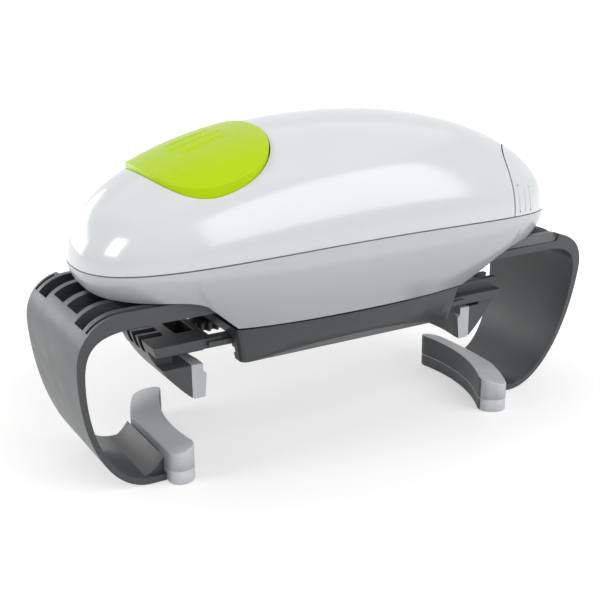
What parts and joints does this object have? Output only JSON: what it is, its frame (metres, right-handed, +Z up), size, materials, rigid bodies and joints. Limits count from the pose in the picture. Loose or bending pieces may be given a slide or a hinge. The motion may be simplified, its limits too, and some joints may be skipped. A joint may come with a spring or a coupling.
{
  "type": "electric jar opener",
  "caption": "Electric jar opener: two arms close on the jar and two jaws on its lid, on a turning carriage under an ovoid housing with a push button and a battery cover.",
  "frame": {"origin": "under the middle of the opener, on the surface it stands on", "axes": "+Z up, +X along the long axis towards the battery cover, -X towards the start button"},
  "size_m": [0.209, 0.0862, 0.1181],
  "materials": {
    "white_gloss": "glossy",
    "white_lower": "glossy",
    "lime": "glossy",
    "grey_plastic": "satin",
    "light_grey_plastic": "satin",
    "pad_rubber": "matte",
    "steel": "brushed",
    "nylon": "matte",
    "motor_can": "plated",
    "dark_plastic": "matte",
    "circuit_green": "satin",
    "switch_black": "matte",
    "cell_wrap": "glossy",
    "nickel": "plated"
  },
  "bodies": {
    "housing": {"top_shell": "white_gloss", "bottom_shell": "white_lower", "chassis": "grey_plastic", "gear_deck": "dark_plastic", "gear_plate": "dark_plastic", "gear_axles": "steel", "motor": "motor_can", "circuit_board": "circuit_green", "button_switch": "switch_black", "button_spring": "steel", "battery_cells": "cell_wrap", "battery_tray": "dark_plastic", "battery_contacts": "nickel", "contact_springs": "steel"},
    "start_button": {"start_button": "lime"},
    "battery_cover": {"battery_cover": "white_gloss"},
    "left_arm": {"left_arm": "grey_plastic", "left_foot_pad": "pad_rubber"},
    "right_arm": {"right_arm": "grey_plastic", "right_foot_pad": "pad_rubber"},
    "arm_pinion": {"arm_pinion": "nylon"},
    "carriage": {"carriage_housing": "grey_plastic", "carriage_cover": "grey_plastic", "carriage_spindle": "steel", "turntable_gear": "nylon", "spindle_screw": "steel"},
    "left_jaw": {"left_jaw": "light_grey_plastic", "left_jaw_pad": "pad_rubber"},
    "right_jaw": {"right_jaw": "light_grey_plastic", "right_jaw_pad": "pad_rubber"},
    "jaw_pinion": {"jaw_pinion": "nylon"},
    "reduction_gear_b": {"reduction_gear_b": "nylon"},
    "reduction_gear_a": {"reduction_gear_a": "nylon"},
    "motor_pinion": {"motor_pinion": "nylon"}
  },
  "joints": [
    {"name": "button_press", "type": "slide", "parent": "housing", "child": "start_button", "axis": [0, 0, -1], "range_m": [0, 0.002], "stiffness_N_per_m": 400, "springref_m": -0.002, "deforming": ["button_spring"]},
    {"name": "cover_slide", "type": "slide", "parent": "housing", "child": "battery_cover", "axis": [1, 0, 0], "range_m": [0, 0.04]},
    {"name": "left_arm_slide", "type": "slide", "parent": "housing", "child": "left_arm", "axis": [1, 0, 0], "range_m": [0, 0.035]},
    {"name": "right_arm_slide", "type": "slide", "parent": "housing", "child": "right_arm", "axis": [-1, 0, 0], "range_m": [0, 0.035]},
    {"name": "arm_pinion_spin", "type": "hinge", "parent": "housing", "child": "arm_pinion", "pos_m": [0, 0, 0.0633], "axis": [0, 0, 1], "range_deg": [-252, 0]},
    {"name": "carriage_turn", "type": "hinge", "parent": "housing", "child": "carriage", "pos_m": [0, 0, 0.0515], "axis": [0, 0, 1], "continuous": true},
    {"name": "left_jaw_slide", "type": "slide", "parent": "carriage", "child": "left_jaw", "axis": [1, 0, 0], "range_m": [0, 0.0401]},
    {"name": "right_jaw_slide", "type": "slide", "parent": "carriage", "child": "right_jaw", "axis": [-1, 0, 0], "range_m": [0, 0.0401]},
    {"name": "jaw_pinion_spin", "type": "hinge", "parent": "carriage", "child": "jaw_pinion", "pos_m": [0, 0, 0.042], "axis": [0, 0, 1], "range_deg": [-258, 0]},
    {"name": "gear_b_spin", "type": "hinge", "parent": "housing", "child": "reduction_gear_b", "pos_m": [-0.0248, 0, 0.075], "axis": [0, 0, 1], "continuous": true},
    {"name": "gear_a_spin", "type": "hinge", "parent": "housing", "child": "reduction_gear_a", "pos_m": [-0.01503, 0.01836, 0.079], "axis": [0, 0, 1], "continuous": true},
    {"name": "motor_pinion_spin", "type": "hinge", "parent": "housing", "child": "motor_pinion", "pos_m": [0.00029, 0.00551, 0.082], "axis": [0, 0, 1], "continuous": true}
  ],
  "couplings": [
    {"joint": "right_arm_slide", "follows": "left_arm_slide", "ratio": 1},
    {"joint": "arm_pinion_spin", "follows": "left_arm_slide", "rad_per_m": -125},
    {"joint": "left_jaw_slide", "follows": "left_arm_slide", "ratio": 1.1429},
    {"joint": "right_jaw_slide", "follows": "left_arm_slide", "ratio": 1.1429},
    {"joint": "jaw_pinion_spin", "follows": "left_arm_slide", "rad_per_m": -126.98},
    {"joint": "gear_b_spin", "follows": "carriage_turn", "ratio": -4.1667},
    {"joint": "gear_a_spin", "follows": "carriage_turn", "ratio": 13.889},
    {"joint": "motor_pinion_spin", "follows": "carriage_turn", "ratio": -55.556}
  ]
}
